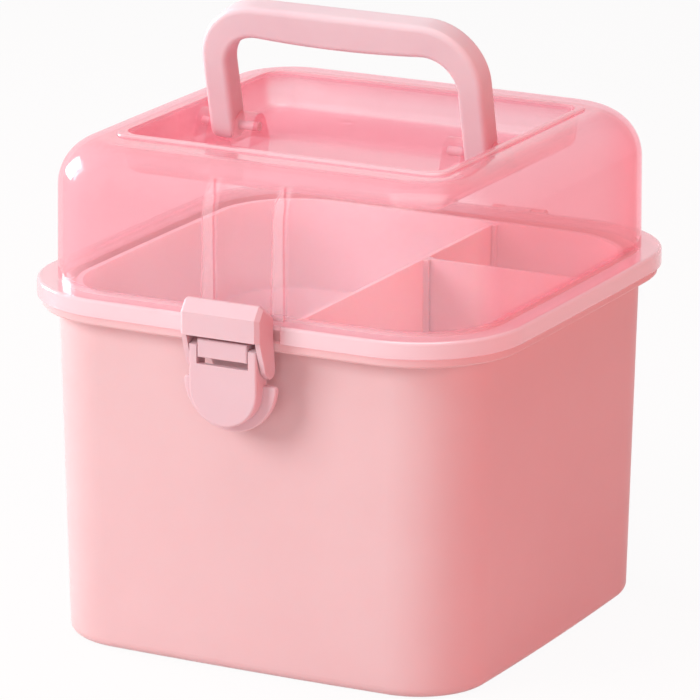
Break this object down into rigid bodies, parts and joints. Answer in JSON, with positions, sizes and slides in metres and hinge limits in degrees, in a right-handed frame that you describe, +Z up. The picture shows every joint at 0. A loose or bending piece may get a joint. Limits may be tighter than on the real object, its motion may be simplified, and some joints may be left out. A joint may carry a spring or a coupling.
{
  "type": "makeup storage case",
  "caption": "Square storage case with a see-through domed lid, a fold-down carrying handle, a front draw latch and a lift-out divided tray.",
  "frame": {"origin": "centre of the flat base, on the surface the case stands on", "axes": "+Z up, -Y towards the front with the latch, +X to the right when facing the case's front; the handle's grip lies along X"},
  "size_m": [0.2, 0.2201, 0.2396],
  "materials": {
    "case_pink": "moulded polypropylene, satin pink",
    "lid_clear_pink": "moulded translucent pink polypropylene, glossy",
    "pale_pink": "moulded pale pink polypropylene, satin",
    "tray_pink": "moulded polypropylene, satin pink",
    "pin_pink": "moulded pale pink pin, smooth"
  },
  "bodies": {
    "case": {"case_shell": "case_pink", "latch_bracket": "pale_pink", "latch_lever_pin": "pin_pink", "lid_hinge_pin_left": "pin_pink", "lid_hinge_pin_right": "pin_pink"},
    "lid": {"lid_shell": "lid_clear_pink", "handle_pin_left": "pin_pink", "handle_pin_right": "pin_pink"},
    "handle": {"handle": "pale_pink"},
    "lever": {"latch_lever": "pale_pink", "latch_hook_pin_left": "pin_pink", "latch_hook_pin_right": "pin_pink"},
    "hook": {"latch_hook": "pale_pink"},
    "tray": {"tray": "tray_pink", "tray_divider_long": "tray_pink", "tray_divider_cross": "tray_pink"}
  },
  "joints": [
    {"name": "lid_hinge", "type": "hinge", "parent": "case", "child": "lid", "pos_m": [0, 0.1054, 0.1366], "axis": [-1, 0, 0], "range_deg": [0, 105]},
    {"name": "handle_fold", "type": "hinge", "parent": "lid", "child": "handle", "pos_m": [0, 0, 0.1876], "axis": [1, 0, 0], "range_deg": [-103, 77]},
    {"name": "latch_lever_swing", "type": "hinge", "parent": "case", "child": "lever", "pos_m": [0.0024, -0.1032, 0.1309], "axis": [-1, 0, 0], "range_deg": [0, 95]},
    {"name": "latch_hook_swing", "type": "hinge", "parent": "lever", "child": "hook", "pos_m": [0.0024, -0.1032, 0.125], "axis": [-1, 0, 0], "range_deg": [-104.5, 0]},
    {"name": "tray_lift", "type": "slide", "parent": "case", "child": "tray", "axis": [0, 0, 1], "range_m": [0, 0.039]}
  ],
  "couplings": [
    {"joint": "latch_hook_swing", "follows": "latch_lever_swing", "ratio": -1.1}
  ]
}
